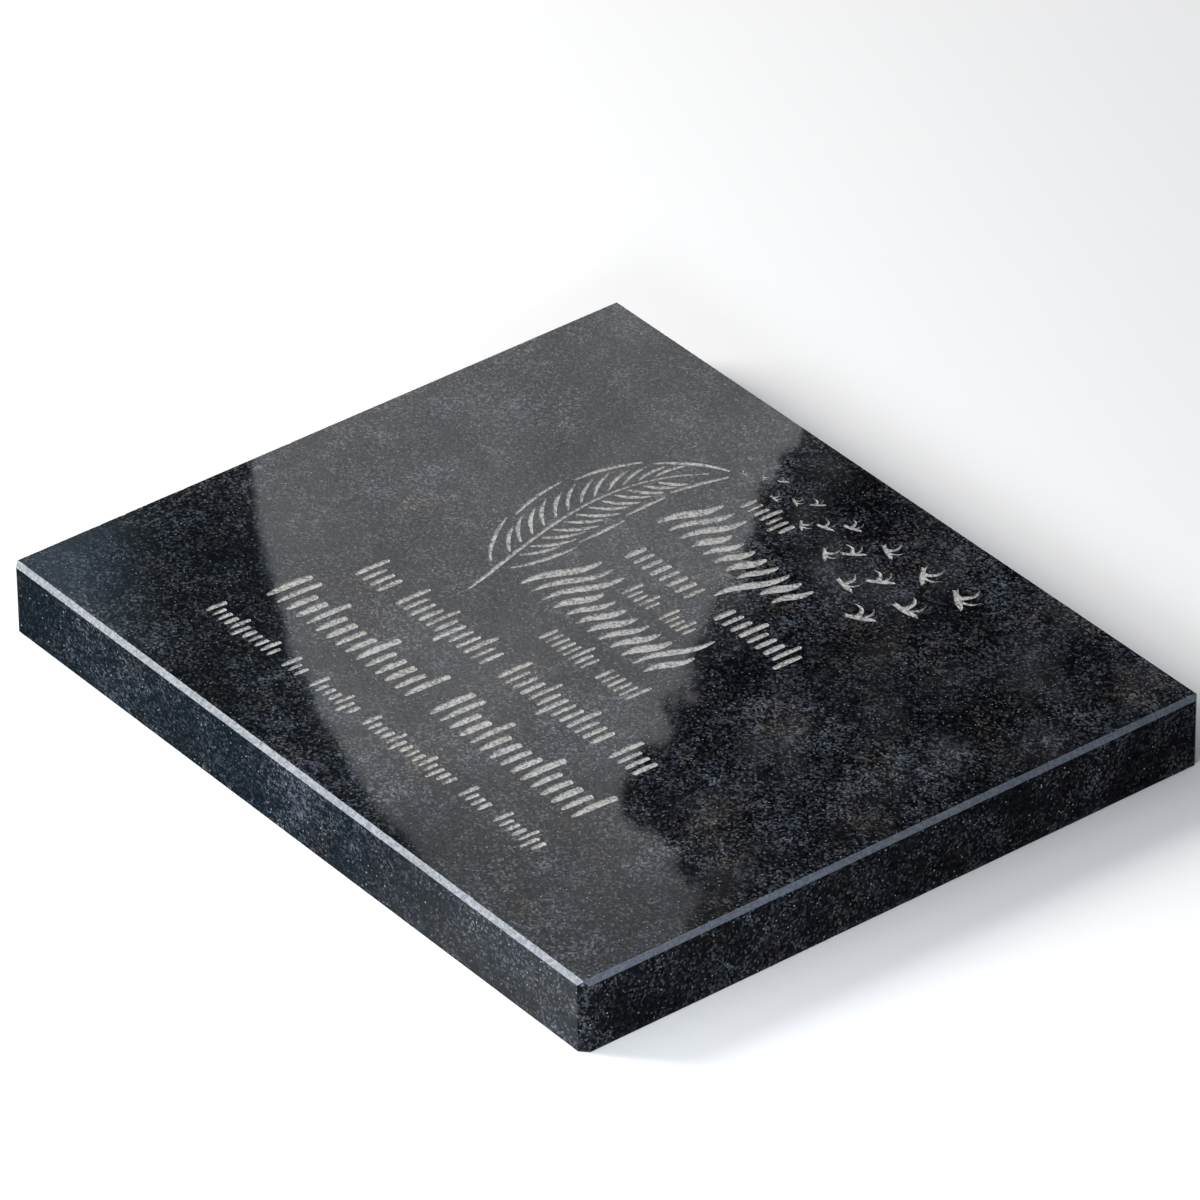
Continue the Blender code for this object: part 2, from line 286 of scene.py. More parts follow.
def panelMaterial():
    # a softbox cut to the shape of a gap between trees
    material = bpy.data.materials.new("panelLight")
    material.use_nodes = True
    tree = material.node_tree
    tree.nodes.clear()
    place = addNode(tree, "ShaderNodeTexCoord", -1800, 0).outputs["Object"]
    axes = addNode(tree, "ShaderNodeSeparateXYZ", -1600, 0)
    feed(tree, axes, {"Vector": place})
    across, along = axes.outputs["X"], axes.outputs["Y"]
    ripple = addNode(tree, "ShaderNodeTexNoise", -1600, -400)
    feed(tree, ripple, {"Vector": place, "Scale": panelShape["lobeScale"], "Detail": 5.0,
                        "Roughness": 0.68})
    swing = mathNode(tree, "SUBTRACT", ripple.outputs["Fac"], 0.5, -1400, -400)
    shift = mathNode(tree, "MULTIPLY", swing, panelShape["lobes"], -1200, -400)
    calm = mathNode(tree, "MULTIPLY", shift, panelShape["lobesLeft"], -1000, -400)
    left = border(tree, along, panelShape["leftAt"], -1400, 200)
    right = border(tree, along, panelShape["rightAt"], -1400, -100)
    fromLeft = mathNode(tree, "SUBTRACT", across, left, -600, 200)
    ragLeft = mathNode(tree, "ADD", fromLeft, calm, -400, 200)
    toRight = mathNode(tree, "SUBTRACT", right, across, -600, -100)
    ragRight = mathNode(tree, "ADD", toRight, shift, -400, -100)
    leftMask = ramp(tree, ragLeft, 0.0, panelShape["soft"], -200, 200)
    rightMask = ramp(tree, ragRight, 0.0, panelShape["soft"], -200, -100)
    fade = ramp(tree, along, panelShape["fadeFrom"], panelShape["fadeTo"], -200, -400,
                low=1.0, high=panelShape["fadeLeft"])
    mask = mathNode(tree, "MULTIPLY", leftMask, rightMask, 0, 0)
    faded = mathNode(tree, "MULTIPLY", mask, fade, 200, 0)
    strip = ramp(tree, across, panelShape["cornerAt"] - panelShape["cornerSoft"], panelShape["cornerAt"],
                 0, -300, low=panelShape["cornerLight"], high=panelShape["cornerRest"])
    beyond = mathNode(tree, "SUBTRACT", 1.0, leftMask, 0, 300)
    corner = mathNode(tree, "MULTIPLY", strip, beyond, 200, -300)
    leaves = addNode(tree, "ShaderNodeTexNoise", -600, -700)
    feed(tree, leaves, {"Vector": place, "Scale": panelShape["leavesScale"], "Detail": 5.0,
                        "Roughness": 0.6})
    gaps = ramp(tree, leaves.outputs["Fac"], panelShape["leavesFrom"], panelShape["leavesTo"], -400, -700,
                high=panelShape["leavesLight"])
    covered = mathNode(tree, "SUBTRACT", 1.0, rightMask, 0, -700)
    dimmed = mathNode(tree, "MULTIPLY", gaps, covered, 200, -700)
    edges = mathNode(tree, "ADD", corner, dimmed, 400, -300)
    both = mathNode(tree, "ADD", faded, edges, 500, 0)
    colour = mixColours(tree, beyond, panelShape["colour"], panelShape["cornerColour"], 400, 300)
    haze = addNode(tree, "ShaderNodeTexNoise", 0, -500)
    feed(tree, haze, {"Vector": place, "Scale": panelShape["hazeScale"], "Detail": 3.0})
    dimmest = room["panelLight"] * (1 - panelShape["haze"])
    brightest = room["panelLight"] * (1 + panelShape["haze"])
    level = ramp(tree, haze.outputs["Fac"], noiseLow, noiseHigh, 200, -500, low=dimmest, high=brightest)
    strength = mathNode(tree, "MULTIPLY", both, level, 600, 0)
    light = addNode(tree, "ShaderNodeEmission", 800, 0)
    feed(tree, light, {"Color": colour, "Strength": strength})
    output = addNode(tree, "ShaderNodeOutputMaterial", 1000, 0)
    feed(tree, output, {"Surface": light.outputs[0]})
    return material


def makeWorld():
    world = bpy.data.worlds.new("room")
    world.use_nodes = True
    tree = world.node_tree
    tree.nodes.clear()
    rays = addNode(tree, "ShaderNodeLightPath", -600, 300)
    direction = addNode(tree, "ShaderNodeTexCoord", -1000, 0).outputs["Generated"]
    axes = addNode(tree, "ShaderNodeSeparateXYZ", -800, 0)
    feed(tree, axes, {"Vector": direction})
    glow = ramp(tree, axes.outputs["Z"], room["glowFrom"], room["glowTo"], -600, 0,
                low=room["glow"], high=room["ambient"])
    air = addNode(tree, "ShaderNodeBackground", -300, 0)
    feed(tree, air, {"Color": room["airColour"], "Strength": glow})
    seen = addNode(tree, "ShaderNodeBackground", -300, 200)
    feed(tree, seen, {"Color": room["backdrop"], "Strength": 1.0})
    both = addNode(tree, "ShaderNodeMixShader", 0, 0)
    feed(tree, both, {0: rays.outputs["Is Camera Ray"], 1: air.outputs[0], 2: seen.outputs[0]})
    output = addNode(tree, "ShaderNodeOutputWorld", 200, 0)
    feed(tree, output, {"Surface": both.outputs[0]})
    bpy.context.scene.world = world


def hideFromMirrors(light, place):
    # A black card that only mirrored rays meet. The light still falls on everything, but the polished
    # face doesn't turn white where it would mirror the light.
    material, tree, shader = newMaterial("blackCard")
    feed(tree, shader, {"Base Color": (0, 0, 0, 1), "Roughness": 1.0, "Specular IOR Level": 0.0})
    card = stageMesh("mirror_flag", room["flagSize"], material)
    card.location = place
    card.rotation_mode = "QUATERNION"
    card.rotation_quaternion = light.rotation_quaternion
    card.visible_camera = False
    card.visible_diffuse = False
    card.visible_shadow = False


def makeRoom():
    floor = stageMesh("floor", room["floorSize"], floorMaterial())
    floor.location.z = low.z - room["floorDrop"]

    centre = Vector((0, 0, high.z))
    keyPlace = centre + Vector(room["keyFrom"]).normalized() * room["keyDistance"]
    keyLight = addLight("keyLight", keyPlace, centre, room["keySize"], room["keyPower"], room["keyColour"])
    hideFromMirrors(keyLight, keyPlace + (centre - keyPlace).normalized() * room["flagGap"])
    fillPlace = Vector((0, 0, room["fillHeight"]))
    addLight("fillLight", fillPlace, centre, room["fillSize"], room["fillPower"], room["fillColour"])
    nearCorner = Vector((high.x, low.y, high.z))
    edgeLight = addLight("edgeLight", room["edgeFrom"], nearCorner, room["edgeSize"], room["edgePower"],
                         room["edgeColour"])
    edgeLight.visible_glossy = False   # or the polished face would mirror it towards a camera behind

    right, up, back = viewAxes(camera["azimuth"] + 180, camera["elevation"])
    panel = stageMesh("feathered_panel", room["panelSize"], panelMaterial())
    panel.matrix_world = turned(-right, up, -back, centre + back * room["panelDistance"])
    panel.visible_camera = False
    panel.visible_diffuse = False
    panel.visible_shadow = False
    makeWorld()


makeRoom()
print("room made")


# The stone's finishes

grain = {
    "crystalScale": 1250.0,   # a crystal is about 0.8 mm
    "cloudScale": 90.0,       # and the patches that the pale ones crowd in are about 11 mm
    "driftScale": 26.0,       # whole areas a little paler or darker, some 4 cm wide
    "hueScale": 60.0,
    "ownShare": 0.60,         # how much of its brightness is each crystal's own, the rest is fine noise
    "glintsFrom": 0.955,      # only the few crystals beyond this chance glint
    "glintCore": 0.10,        # and they fade between these distances from their middle, in crystals
    "glintRim": 0.50,
    "hueOwn": 0.25,           # how much of its hue is each crystal's own
    "warmFrom": 0.60,
    "warmTo": 0.86,
}


def addSocket(group, name, kind, way, value=None):
    socket = group.interface.new_socket(name=name, in_out=way, socket_type="NodeSocket" + kind)
    if value is not None:
        socket.default_value = value


def graniteGrain():
    # Small crystals, each with a brightness of its own, in a dark stone. Shared by every finish.
    group = bpy.data.node_groups.new("graniteGrain", "ShaderNodeTree")
    for name, value in (("crystalScale", grain["crystalScale"]), ("fleckStart", 0.2), ("fleckEnd", 0.9),
                        ("cloudPull", 0.2), ("driftPull", 0.1), ("contrast", 1.0)):
        addSocket(group, name, "Float", "INPUT", value)
    for name in ("darkColour", "fleckColour", "warmColour", "glintColour"):
        addSocket(group, name, "Color", "INPUT", (0.1, 0.1, 0.1, 1))
    addSocket(group, "colour", "Color", "OUTPUT")
    addSocket(group, "flecks", "Float", "OUTPUT")
    addSocket(group, "fineGrain", "Float", "OUTPUT")

    source = addNode(group, "NodeGroupInput", -1600, 0)
    asked = source.outputs
    place = addNode(group, "ShaderNodeTexCoord", -1600, -500).outputs["Object"]

    clouds = addNode(group, "ShaderNodeTexNoise", -1400, 500)
    feed(group, clouds, {"Vector": place, "Scale": grain["cloudScale"], "Detail": 3.0, "Roughness": 0.6})
    fine = addNode(group, "ShaderNodeTexNoise", -1400, 200)
    feed(group, fine, {"Vector": place, "Scale": asked["crystalScale"], "Detail": 3.0, "Roughness": 0.6})
    crystals = addNode(group, "ShaderNodeTexVoronoi", -1400, -100)
    feed(group, crystals, {"Vector": place, "Scale": asked["crystalScale"]})
    hues = addNode(group, "ShaderNodeTexNoise", -1400, -500)
    feed(group, hues, {"Vector": place, "Scale": grain["hueScale"], "Detail": 2.0})
    chance = addNode(group, "ShaderNodeSeparateColor", -1200, -100)
    feed(group, chance, {"Color": crystals.outputs["Color"]})

    drift = addNode(group, "ShaderNodeTexNoise", -1400, 800)
    feed(group, drift, {"Vector": place, "Scale": grain["driftScale"], "Detail": 3.0, "Roughness": 0.55})
    wide = mathNode(group, "SUBTRACT", drift.outputs["Fac"], 0.5, -1200, 800)
    widePull = mathNode(group, "MULTIPLY", wide, asked["driftPull"], -1000, 800)
    crowd = mathNode(group, "SUBTRACT", clouds.outputs["Fac"], 0.5, -1200, 500)
    closePull = mathNode(group, "MULTIPLY", crowd, asked["cloudPull"], -1000, 500)
    pull = mathNode(group, "ADD", widePull, closePull, -800, 500)
    own = mathNode(group, "MULTIPLY", chance.outputs["Red"], grain["ownShare"], -1000, 0)
    shared = mathNode(group, "MULTIPLY", fine.outputs["Fac"], 1 - grain["ownShare"], -1000, 200)
    both = mathNode(group, "ADD", own, shared, -800, 100)
    raised = mathNode(group, "ADD", both, pull, -600, 200)
    share = ramp(group, raised, asked["fleckStart"], asked["fleckEnd"], -400, 200, smooth=False)
    flecks = mathNode(group, "POWER", share, asked["contrast"], -200, 200)

    chosen = ramp(group, chance.outputs["Blue"], grain["glintsFrom"], 1.0, -800, -200)
    near = ramp(group, crystals.outputs["Distance"], grain["glintCore"], grain["glintRim"], -800, -400,
                low=1.0, high=0.0)
    glint = mathNode(group, "MULTIPLY", chosen, near, -600, -300)

    each = mathNode(group, "MULTIPLY", chance.outputs["Green"], grain["hueOwn"], -1000, -600)
    hue = mathNode(group, "ADD", hues.outputs["Fac"], each, -800, -600)
    warmth = ramp(group, hue, grain["warmFrom"], grain["warmTo"], -600, -600)
    tinted = mixColours(group, warmth, asked["fleckColour"], asked["warmColour"], -200, -100)
    base = mixColours(group, flecks, asked["darkColour"], tinted, 0, 100)
    colour = mixColours(group, glint, base, asked["glintColour"], 200, 100)

    result = addNode(group, "NodeGroupOutput", 400, 0)
    feed(group, result, {"colour": colour, "flecks": flecks, "fineGrain": fine.outputs["Fac"]})
    return group


grainGroup = graniteGrain()


looks = {
    # What each finish asks of the grain, and its surface. The first of a pair of values is for the
    # low end of the fine grain, or of the flecks on the honed band, and the second for the high end.
    "polished": {
        "grain": {
            "darkColour": (0.0018, 0.0020, 0.0027, 1),
            "fleckColour": (0.118, 0.136, 0.170, 1),
            "warmColour": (0.136, 0.123, 0.114, 1),
            "glintColour": (0.34, 0.37, 0.42, 1),
            "fleckStart": 0.18,
            "fleckEnd": 1.00,
            "cloudPull": 0.60,
            "driftPull": 0.55,
            "contrast": 3.4,
        },
        "roughness": (0.020, 0.036),
        "shine": (0.33, 0.67),
        "ior": 1.55,
    },
    "honed": {
        "grain": {
            "darkColour": (0.062, 0.074, 0.095, 1),
            "fleckColour": (0.130, 0.152, 0.186, 1),
            "warmColour": (0.124, 0.141, 0.168, 1),
            "glintColour": (0.21, 0.24, 0.28, 1),
            "fleckStart": 0.15,
            "fleckEnd": 0.85,
            "cloudPull": 0.12,
        },
        "roughness": (0.56, 0.46),
        "ior": 1.55,
        "bumpDepth": 0.00003,
        "bumpStrength": 0.5,
    },
    "etched": {
        "grain": {
            "darkColour": (0.055, 0.055, 0.054, 1),
            "fleckColour": (0.425, 0.424, 0.418, 1),
            "warmColour": (0.418, 0.394, 0.362, 1),
            "glintColour": (0.620, 0.615, 0.600, 1),
            "crystalScale": 1550.0,
            "fleckStart": 0.13,
            "fleckEnd": 0.64,
            "cloudPull": 0.20,
        },
        "roughness": 0.75,
        "ior": 1.5,
        "bumpDepth": 0.00006,
        "bumpStrength": 0.5,
    },
    "sawn": {
        "grain": {
            "darkColour": (0.075, 0.080, 0.088, 1),
            "fleckColour": (0.26, 0.27, 0.285, 1),
            "warmColour": (0.21, 0.205, 0.20, 1),
            "glintColour": (0.45, 0.46, 0.48, 1),
            "fleckStart": 0.20,
            "fleckEnd": 0.85,
        },
        "roughness": 0.7,
        "ior": 1.5,
        "sawShift": (0.0, 0.9, 0.0),   # the centre of the saw's arcs is this far in front of the slab
        "sawScale": 95.0,
        "bumpDepth": 0.00025,
        "bumpStrength": 0.7,
    },
}


def withGrain(name):
    # a new finish whose colour comes from the shared grain
    material, tree, shader = newMaterial(name + "_granite")
    grains = addNode(tree, "ShaderNodeGroup", -700, 0)
    grains.node_tree = grainGroup
    feed(tree, grains, looks[name]["grain"])
    feed(tree, shader, {"Base Color": grains.outputs["colour"], "IOR": looks[name]["ior"]})
    return material, tree, shader, grains.outputs


def addBump(tree, shader, height, look):
    bump = addNode(tree, "ShaderNodeBump", -250, -400)
    feed(tree, bump, {"Height": height, "Distance": look["bumpDepth"], "Strength": look["bumpStrength"]})
    feed(tree, shader, {"Normal": bump.outputs["Normal"]})


def polishedFinish():
    look = looks["polished"]
    material, tree, shader, grains = withGrain("polished")
    smooth, rough = look["roughness"]
    roughness = ramp(tree, grains["fineGrain"], noiseLow, noiseHigh, -400, -200, low=smooth, high=rough)
    dull, bright = look["shine"]
    shine = ramp(tree, grains["fineGrain"], noiseLow, noiseHigh, -400, -500, low=dull, high=bright)
    feed(tree, shader, {"Roughness": roughness, "Specular IOR Level": shine})
    return material


def honedFinish():
    # ground but not polished, so it is paler and dull
    look = looks["honed"]
    material, tree, shader, grains = withGrain("honed")
    rough, smooth = look["roughness"]
    roughness = ramp(tree, grains["flecks"], 0.0, 1.0, -400, -200, low=rough, high=smooth)
    feed(tree, shader, {"Roughness": roughness})
    addBump(tree, shader, grains["fineGrain"], look)
    return material


def etchedFinish():
    # frosted by the engraving: crushed crystals are pale, and a few dark grains show through
    look = looks["etched"]
    material, tree, shader, grains = withGrain("etched")
    feed(tree, shader, {"Roughness": look["roughness"]})
    addBump(tree, shader, grains["fineGrain"], look)
    return material


def sawnFinish():
    # the underside keeps the saw's marks
    look = looks["sawn"]
    material, tree, shader, grains = withGrain("sawn")
    place = addNode(tree, "ShaderNodeTexCoord", -1100, -500).outputs["Object"]
    moved = addNode(tree, "ShaderNodeMapping", -900, -500)
    feed(tree, moved, {"Vector": place, "Location": look["sawShift"]})
    marks = addNode(tree, "ShaderNodeTexWave", -700, -500, wave_type="RINGS", rings_direction="Z")
    feed(tree, marks, {"Vector": moved.outputs["Vector"], "Scale": look["sawScale"], "Distortion": 1.2,
                       "Detail": 2.0, "Detail Scale": 4.0})
    feed(tree, shader, {"Roughness": look["roughness"]})
    addBump(tree, shader, marks.outputs["Fac"], look)
    return material


finishes = {
    "polished": polishedFinish(),
    "honed": honedFinish(),
    "etched": etchedFinish(),
    "sawn": sawnFinish(),
}
print("finishes made")


# The engraving: every mark is a flat outline on the face

def onFace(u, v):
    return Vector((low.x + u * size.x, low.y + v * size.y))


def ribbon(spine, halves):
    # the closed outline of a ribbon: up the left side of its spine and back down the right side
    left, right = [], []
    last = len(spine) - 1
    for i, (point, half) in enumerate(zip(spine, halves)):
        along = spine[min(i + 1, last)] - spine[max(i - 1, 0)]
        side = Vector((-along.y, along.x)).normalized() * half
        left.append(point + side)
        right.append(point - side)
    return left + right[::-1]


def stroke(start, end, width, bow, wave, heel, tip, stations):
    # one mark of the chisel, widest at its middle
    run = end - start
    side = Vector((-run.y, run.x))
    spine, halves = [], []
    for i in range(stations):
        t = i / (stations - 1)
        swell = math.sin(math.pi * t)
        share = heel + (tip - heel) * t
        bend = bow * swell + wave * math.sin(2 * math.pi * t)
        spine.append(start + run * t + side * bend)
        halves.append(width / 2 * (share + (1 - share) * swell))
    return ribbon(spine, halves)


def softened(outline, passes, keepAngle):
    # Cuts a quarter off both ends of every edge, but leaves a point that is sharper than keepAngle.
    for _ in range(passes):
        cut = []
        for i, point in enumerate(outline):
            before, after = outline[i - 1], outline[(i + 1) % len(outline)]
            inner = math.degrees((before - point).angle(after - point, math.pi))
            if inner < keepAngle:
                cut.append(point)
            else:
                cut += [point.lerp(before, 0.25), point.lerp(after, 0.25)]
        outline = cut
    return outline


hands = {
    # How the strokes of each kind of row are drawn. Width is a share of the room for one stroke, lean
    # a share of its height, bow and wave bend it by a share of its length. Heel and tip are the share
    # of the width left at its ends. Tall and deep are multiples of a short stroke.
    "plain": dict(width=0.60, lean=0.02, bow=0.02, wave=0.000, heel=0.75, tip=0.75, tall=1.40, deep=0.34),
    "wedge": dict(width=0.64, lean=0.03, bow=0.03, wave=0.000, heel=0.40, tip=0.90, tall=1.45, deep=0.36),
    "brush": dict(width=0.68, lean=0.24, bow=0.00, wave=0.045, heel=0.25, tip=0.36, tall=1.62, deep=0.85),
}

writing = {
    "stations": 7,              # along a stroke
    "wordGap": 1.5,             # room between words, in strokes
    "weights": (1.00, 0.80, 0.90),   # of the strokes' widths, in turn
    # From the back of the face to the front. Words holds the number of strokes in each word, initials
    # the tall strokes that start a word, and each tall-th stroke is tall and each deep-th one deep.
    "rows": (
        dict(hand="plain", left=0.410, right=0.486, base=0.812, short=0.026, words=(7,),
             initials=0, tall=4, deep=6),
        dict(hand="brush", left=0.372, right=0.590, base=0.703, short=0.058, words=(11,),
             initials=3, tall=0, deep=9),
        dict(hand="plain", left=0.406, right=0.521, base=0.622, short=0.034, words=(8,),
             initials=0, tall=0, deep=0),
        dict(hand="plain", left=0.560, right=0.686, base=0.622, short=0.034, words=(9,),
             initials=0, tall=4, deep=9),
        dict(hand="plain", left=0.461, right=0.572, base=0.567, short=0.024, words=(5, 5),
             initials=1, tall=4, deep=0),
        dict(hand="brush", left=0.372, right=0.606, base=0.478, short=0.070, words=(12,),
             initials=3, tall=11, deep=0),
        dict(hand="plain", left=0.472, right=0.630, base=0.421, short=0.030, words=(8, 6),
             initials=0, tall=6, deep=0),
        dict(hand="plain", left=0.250, right=0.745, base=0.326, short=0.039, words=(4, 12, 13, 4),
             initials=1, tall=5, deep=7),
        dict(hand="wedge", left=0.220, right=0.768, base=0.209, short=0.049, words=(15, 15),
             initials=2, tall=5, deep=0),
        dict(hand="wedge", left=0.206, right=0.784, base=0.127, short=0.022,
             words=(11, 3, 7, 14, 4, 7), initials=1, tall=5, deep=6),
    ),
}


def isNth(index, every):
    return every > 0 and (index + 1) % every == 0


def rowOutlines(row):
    hand = hands[row["hand"]]
    strokeRooms = sum(row["words"]) + writing["wordGap"] * (len(row["words"]) - 1)
    pitch = (row["right"] - row["left"]) * size.x / strokeRooms
    short = row["short"] * size.y
    footLine = onFace(row["left"], row["base"])
    x = footLine.x + pitch / 2
    outlines = []
    for count in row["words"]:
        for k in range(count):
            top, foot = short, 0.0
            if k < row["initials"] or isNth(k, row["tall"]):
                top = short * hand["tall"]
            elif isNth(k, row["deep"]):
                foot = -short * hand["deep"]
            start = Vector((x + hand["lean"] * foot, footLine.y + foot))
            end = Vector((x + hand["lean"] * top, footLine.y + top))
            width = pitch * hand["width"] * writing["weights"][k % len(writing["weights"])]
            outlines.append(stroke(start, end, width, hand["bow"], hand["wave"], hand["heel"],
                                   hand["tip"], writing["stations"]))
            x += pitch
        x += writing["wordGap"] * pitch
    return outlines


feather = {
    "shaft": ((0.356, 0.414), (0.322, 0.570), (0.256, 0.730), (0.362, 0.855)),   # its curve, in u and v
    "shaftWidth": 0.13,        # of the vane's half width
    "shaftPoint": 0.30,        # share of that width at the quill's point
    "pointLength": 0.09,       # of the shaft, which reaches its width here
    "shaftTip": 0.35,          # share of its width at the far end of the curve
    "shaftEnd": 0.93,          # of the curve, where the shaft stops
    "shaftStations": 41,
    "vaneStart": 0.14,         # of the shaft
    "vaneHalf": 0.0500,        # of the slab's width
    "vanePeak": 0.74,          # these two powers shape the vane's outline
    "vaneRound": 0.72,
    "edgeWidth": 0.115,        # of the vane's half width, the line round the vane
    "edgeEnds": 0.45,          # share of it at the ends of a lobe
    "edgeEnd": 0.995,          # of the vane, where that line stops
    "lobes": 4,                # the line's pieces on each side
    "lobeStations": 17,
    "lobeGap": 0.014,          # of the vane, half of the gap between two lobes
    "lobeFlare": 0.12,         # how far a lobe turns outwards
    "barbs": 12,               # on each side
    "barbWidth": 0.115,        # of the vane's half width
    "barbFirst": 0.090,        # places of the first and last root along the vane
    "barbLast": 0.74,
    "barbSweep": 0.125,        # how much further along the vane a barb ends
    "barbCalm": 0.10,          # share of that sweep which the vane's end would lack
    "barbReach": (0.74, 0.80),   # how far out the barbs reach, in turn
    "barbBow": 0.08,           # bend, as a share of the barb's length
    "barbRoot": 0.45,          # share of its width at the root
    "barbTip": 0.25,
    "barbClear": 0.045,        # of the vane's half width, between the shaft and a root
    "barbStations": 9,
}


def shaftPoint(t):
    # the shaft's curve, and the unit vector to its left
    a, b, c, d = (onFace(u, v) for u, v in feather["shaft"])
    s = 1 - t
    point = a * s ** 3 + b * (3 * s * s * t) + c * (3 * s * t * t) + d * t ** 3
    along = (b - a) * (s * s) + (c - b) * (2 * s * t) + (d - c) * (t * t)
    return point, Vector((-along.y, along.x)).normalized()


def fullVane():
    return feather["vaneHalf"] * size.x


def alongVane(share):
    return feather["vaneStart"] + (1 - feather["vaneStart"]) * share


def vanePoint(share, out, side):
    # out is 0 on the shaft and 1 on the vane's edge, and side is 1 left and -1 right
    half = fullVane() * math.sin(math.pi * share ** feather["vanePeak"]) ** feather["vaneRound"]
    point, left = shaftPoint(alongVane(share))
    return point + left * (side * out * half)


def shaftOutline():
    spine, halves = [], []
    for i in range(feather["shaftStations"]):
        t = i / (feather["shaftStations"] - 1)
        spine.append(shaftPoint(t * feather["shaftEnd"])[0])
        thin = feather["shaftPoint"]
        pointShare = min(1.0, thin + (1 - thin) * t / feather["pointLength"])
        thinning = 1 - (1 - feather["shaftTip"]) * t
        halves.append(fullVane() * feather["shaftWidth"] / 2 * thinning * pointShare)
    return ribbon(spine, halves)


def lobeOutline(lobe, side):
    start = lobe / feather["lobes"] * feather["edgeEnd"] + feather["lobeGap"]
    end = (lobe + 1) / feather["lobes"] * feather["edgeEnd"] - feather["lobeGap"]
    spine, halves = [], []
    for i in range(feather["lobeStations"]):
        t = i / (feather["lobeStations"] - 1)
        out = 1 + feather["lobeFlare"] * (t - 0.5)
        spine.append(vanePoint(start + (end - start) * t, out, side))
        swell = feather["edgeEnds"] + (1 - feather["edgeEnds"]) * math.sin(math.pi * t)
        halves.append(fullVane() * feather["edgeWidth"] / 2 * swell)
    return ribbon(spine, halves)


def barbOutline(index, side):
    step = (feather["barbLast"] - feather["barbFirst"]) / (feather["barbs"] - 1)
    share = feather["barbFirst"] + step * index
    root, left = shaftPoint(alongVane(share))
    clear = feather["shaftWidth"] / 2 + feather["barbClear"]
    sweep = feather["barbSweep"] * (1 - share * feather["barbCalm"])
    reach = feather["barbReach"][index % len(feather["barbReach"])]
    return stroke(root + left * (side * fullVane() * clear), vanePoint(share + sweep, reach, side),
                  fullVane() * feather["barbWidth"], side * feather["barbBow"], 0.0,
                  feather["barbRoot"], feather["barbTip"], feather["barbStations"])


def featherOutlines():
    outlines = [shaftOutline()]
    for side in (1, -1):
        outlines += [lobeOutline(lobe, side) for lobe in range(feather["lobes"])]
        outlines += [barbOutline(index, side) for index in range(feather["barbs"])]
    return outlines


flock = {
    # a bird's outline in shares of its length, from the beak over the back to the tail and the throat
    "beakToNape": ((0.52, 0.02), (0.38, 0.11), (0.25, 0.09)),
    "farWing": dict(front=(0.20, 0.10), tip=(0.20, 0.62), rear=(0.06, 0.10), bow=0.20),
    "nearWing": dict(front=(0.02, 0.10), tip=(-0.42, 0.66), rear=(-0.18, 0.05), bow=0.24),
    "tailToThroat": ((-0.54, 0.10), (-0.44, 0.01), (-0.50, -0.07), (-0.12, -0.10), (0.20, -0.09)),
    "wingStations": 5,
    "birds": 19,
    "left": 0.346,               # u of the first bird
    "right": 0.702,              # and of the last
    "top": 0.893,                # v of the first lane
    "lanes": 3,
    "laneStep": 0.0145,          # of the slab's depth, between the lanes at the first bird
    "laneSpread": 0.060,         # and how much more at the last
    "lengths": (0.008, 0.041),   # first and last bird, shares of the slab's width
    "turn": 46,                  # degrees, at most
    "turnStep": 2.4,             # radians of the turning wave from one bird to the next
}


def wingPoints(wing):
    # both edges of a wing, bowed the same way, so that it is a crescent
    front, tip, rear = (Vector(wing[name]) for name in ("front", "tip", "rear"))
    points = []
    for start, end, bow in ((front, tip, wing["bow"]), (tip, rear, -wing["bow"])):
        run = end - start
        side = Vector((run.y, -run.x))
        for i in range(flock["wingStations"]):
            t = i / flock["wingStations"]
            points.append(start + run * t + side * (bow * math.sin(math.pi * t)))
    return points + [rear]


def birdShape():
    return ([Vector(point) for point in flock["beakToNape"]] + wingPoints(flock["farWing"])
            + wingPoints(flock["nearWing"]) + [Vector(point) for point in flock["tailToThroat"]])


def birdOutline(index):
    t = index / (flock["birds"] - 1)
    first, last = flock["lengths"]
    length = (first + (last - first) * t) * size.x
    lane = (2 * index) % flock["lanes"]
    centre = onFace(flock["left"] + (flock["right"] - flock["left"]) * t,
                    flock["top"] - lane * (flock["laneStep"] + flock["laneSpread"] * t * t))
    turn = math.radians(flock["turn"]) * math.sin(flock["turnStep"] * index)
    cosTurn, sinTurn = math.cos(turn) * length, math.sin(turn) * length
    return [centre + Vector((point.x * cosTurn - point.y * sinTurn, point.x * sinTurn + point.y * cosTurn))
            for point in birdShape()]


def allOutlines():
    rows = [softened(outline, passes=1, keepAngle=30)
            for row in writing["rows"] for outline in rowOutlines(row)]
    plumes = [softened(outline, passes=1, keepAngle=30) for outline in featherOutlines()]
    birds = [softened(birdOutline(index), passes=2, keepAngle=75) for index in range(flock["birds"])]
    return rows + plumes + birds


# The stone itself

stone = {
    "bevel": 0.00165,         # honed band at 45 degrees round the face
    "cornerFlat": 0.0028,     # narrow flat down each upright corner
    "carveDepth": 0.00025,
    "cutterRise": 0.0010,     # how far the cutter stands above the face
    "nickStep": 0.0009,       # distance between the points of a worked edge
    "nickDepth": 0.00005,     # how ragged the worked edges are
    "nickScale": 1400,
    "nickDown": 0.7,          # share of a nick's depth that its lower edge moves down
    "chipDepth": 0.00032,     # the few deeper nicks
    "chipShare": 0.012,       # of the points that start such a nick
    "chipLeast": 0.4,         # share of chipDepth that the least of them has
    "chipFade": 0.45,         # what is left of it at the next point
    "cornerMargin": 0.0034,   # kept straight at each corner
    "rimShare": 1.5,          # the engraving stays this many bevels inside the slab's edges
    "seed": 20,
}
tiny = 1e-5   # within this, two places are one


